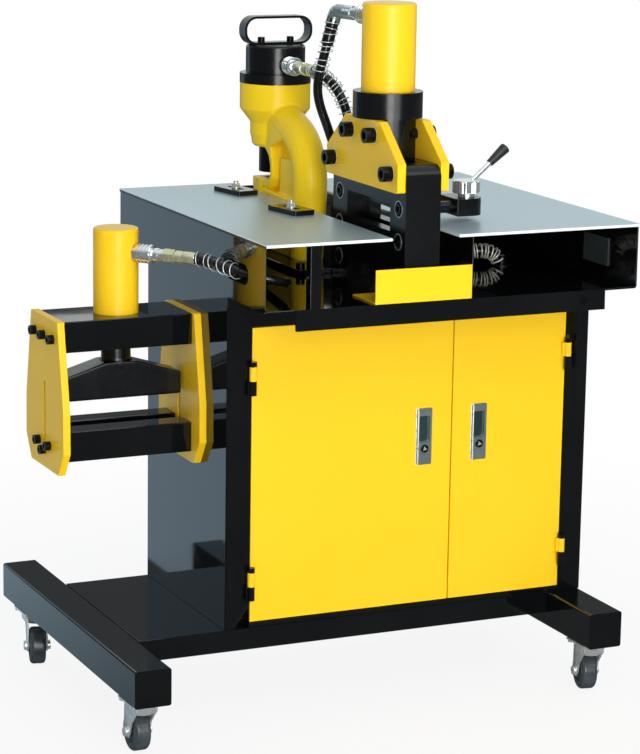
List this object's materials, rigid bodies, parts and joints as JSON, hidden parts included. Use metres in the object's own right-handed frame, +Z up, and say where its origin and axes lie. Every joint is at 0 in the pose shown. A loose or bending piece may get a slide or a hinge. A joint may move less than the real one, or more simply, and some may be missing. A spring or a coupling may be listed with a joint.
{
  "type": "busbar processing machine",
  "caption": "Wheeled cabinet with a hydraulic busbar punch and shear on its steel table and a bender on its side.",
  "frame": {"origin": "bottom centre of the bounding box, on the floor", "axes": "+X to the operator's right, the front faces -Y, +Z up"},
  "size_m": [0.899, 0.6518, 1.141],
  "materials": {
    "yellow_paint": "gloss",
    "black_paint": "gloss",
    "table_steel": "satin",
    "tool_steel": "satin",
    "black_steel": "satin",
    "zinc": "satin",
    "chrome": "polished",
    "fitting_brass": "satin",
    "hose_rubber": "satin",
    "wheel_plastic": "satin",
    "grip_plastic": "matte",
    "tank_paint": "satin"
  },
  "bodies": {
    "machine": {"punch_frame": "yellow_paint", "shear_side_plates": "yellow_paint", "shear_cylinder": "yellow_paint", "shear_front_plate": "yellow_paint", "bender_side_plates": "yellow_paint", "bender_cylinder": "yellow_paint", "foot_beams": "black_paint", "base_tray": "black_paint", "left_side_panel": "black_paint", "right_side_panel": "black_paint", "back_panels": "black_paint", "door_frame": "black_paint", "deck_plate": "black_paint", "table_supports": "black_paint", "shear_body": "black_paint", "shear_collar": "black_paint", "hold_down_arm": "black_paint", "bender_top_beam": "black_paint", "bender_bed": "black_paint", "punch_cap": "black_paint", "punch_handle": "black_paint", "left_table": "table_steel", "right_table": "table_steel", "shear_lower_blades": "tool_steel", "black_screws": "black_steel", "caster_plates": "zinc", "zinc_fasteners": "zinc", "hose_guards": "zinc", "punch_return_spring": "zinc", "shear_return_spring": "zinc", "bender_return_spring": "zinc", "hose_fittings": "fitting_brass", "hydraulic_hoses": "hose_rubber", "oil_tank": "tank_paint", "valve_block": "tank_paint", "pump_motor": "tank_paint"},
    "left_door_body": {"left_door": "yellow_paint", "left_latch": "zinc"},
    "right_door_body": {"right_door": "yellow_paint", "right_latch": "zinc"},
    "left_key": {"left_key_cam": "zinc"},
    "right_key": {"right_key_cam": "zinc"},
    "punch_ram_body": {"punch_ram": "black_steel"},
    "shear_ram_body": {"shear_ram": "tool_steel", "shear_upper_blade": "tool_steel"},
    "bender_ram_body": {"bender_ram": "tool_steel", "bender_press_block": "black_paint"},
    "hold_down_pad_body": {"hold_down_pad": "tool_steel"},
    "hold_down_screw": {"hold_down_nut": "chrome", "hold_down_grip": "grip_plastic"},
    "rear_stop_body": {"rear_stop": "black_paint"},
    "front_stop_body": {"front_stop": "black_paint"},
    "swivel_front_left": {"caster_fork_front_left": "zinc"},
    "wheel_front_left": {"caster_wheel_front_left": "wheel_plastic"},
    "swivel_rear_left": {"caster_fork_rear_left": "zinc"},
    "wheel_rear_left": {"caster_wheel_rear_left": "wheel_plastic"},
    "swivel_front_right": {"caster_fork_front_right": "zinc"},
    "wheel_front_right": {"caster_wheel_front_right": "wheel_plastic"},
    "swivel_rear_right": {"caster_fork_rear_right": "zinc"},
    "wheel_rear_right": {"caster_wheel_rear_right": "wheel_plastic"}
  },
  "joints": [
    {"name": "left_door_hinge", "type": "hinge", "parent": "machine", "child": "left_door_body", "pos_m": [-0.1565, -0.17965, 0.4], "axis": [0, 0, -1], "range_deg": [0, 110]},
    {"name": "right_door_hinge", "type": "hinge", "parent": "machine", "child": "right_door_body", "pos_m": [0.4075, -0.17965, 0.4], "axis": [0, 0, 1], "range_deg": [0, 110]},
    {"name": "left_key_turn", "type": "hinge", "parent": "left_door_body", "child": "left_key", "pos_m": [0.149, -0.16705, 0.4195], "axis": [0, -1, 0], "range_deg": [0, 90]},
    {"name": "right_key_turn", "type": "hinge", "parent": "right_door_body", "child": "right_key", "pos_m": [0.249, -0.16705, 0.4195], "axis": [0, 1, 0], "range_deg": [0, 90]},
    {"name": "swivel_front_left_turn", "type": "hinge", "parent": "machine", "child": "swivel_front_left", "pos_m": [-0.3745, -0.26705, 0.08], "axis": [0, 0, 1], "continuous": true},
    {"name": "wheel_front_left_roll", "type": "hinge", "parent": "swivel_front_left", "child": "wheel_front_left", "pos_m": [-0.3745, -0.24505, 0.0315], "axis": [1, 0, 0], "continuous": true},
    {"name": "swivel_rear_left_turn", "type": "hinge", "parent": "machine", "child": "swivel_rear_left", "pos_m": [-0.3745, 0.24095, 0.08], "axis": [0, 0, 1], "continuous": true},
    {"name": "wheel_rear_left_roll", "type": "hinge", "parent": "swivel_rear_left", "child": "wheel_rear_left", "pos_m": [-0.37982, 0.2196, 0.0315], "axis": [-0.9703, 0.2419, 0], "continuous": true},
    {"name": "swivel_front_right_turn", "type": "hinge", "parent": "machine", "child": "swivel_front_right", "pos_m": [0.4195, -0.26705, 0.08], "axis": [0, 0, 1], "continuous": true},
    {"name": "wheel_front_right_roll", "type": "hinge", "parent": "swivel_front_right", "child": "wheel_front_right", "pos_m": [0.42407, -0.24553, 0.0315], "axis": [0.9781, -0.2079, 0], "continuous": true},
    {"name": "swivel_rear_right_turn", "type": "hinge", "parent": "machine", "child": "swivel_rear_right", "pos_m": [0.4195, 0.24095, 0.08], "axis": [0, 0, 1], "continuous": true},
    {"name": "wheel_rear_right_roll", "type": "hinge", "parent": "swivel_rear_right", "child": "wheel_rear_right", "pos_m": [0.41198, 0.22028, 0.0315], "axis": [-0.9397, 0.342, 0], "continuous": true},
    {"name": "punch_ram_slide", "type": "slide", "parent": "machine", "child": "punch_ram_body", "axis": [0, 0, 1], "range_m": [-0.009, 0.016], "deforming": ["punch_return_spring"]},
    {"name": "shear_ram_slide", "type": "slide", "parent": "machine", "child": "shear_ram_body", "axis": [0, 0, 1], "range_m": [-0.03, 0], "stiffness_N_per_m": 3000, "springref_m": 0.03, "deforming": ["shear_return_spring"]},
    {"name": "bender_ram_slide", "type": "slide", "parent": "machine", "child": "bender_ram_body", "axis": [0, 0, 1], "range_m": [-0.04, 0], "stiffness_N_per_m": 3500, "springref_m": 0.04, "deforming": ["bender_return_spring"]},
    {"name": "hold_down_pad_slide", "type": "slide", "parent": "machine", "child": "hold_down_pad_body", "axis": [0, 0, -1], "range_m": [0, 0.0084]},
    {"name": "hold_down_screw_turn", "type": "hinge", "parent": "machine", "child": "hold_down_screw", "pos_m": [0.2025, -0.19505, 0.849], "axis": [0, 0, -1], "range_deg": [0, 1000]},
    {"name": "rear_stop_slide", "type": "slide", "parent": "machine", "child": "rear_stop_body", "axis": [-0.1736, 0.9848, 0], "range_m": [-0.015, 0.015]},
    {"name": "front_stop_slide", "type": "slide", "parent": "machine", "child": "front_stop_body", "axis": [-0.1736, 0.9848, 0], "range_m": [-0.015, 0.015]}
  ],
  "couplings": [
    {"joint": "hold_down_pad_slide", "follows": "hold_down_screw_turn", "m_per_rad": 0.00047746}
  ]
}
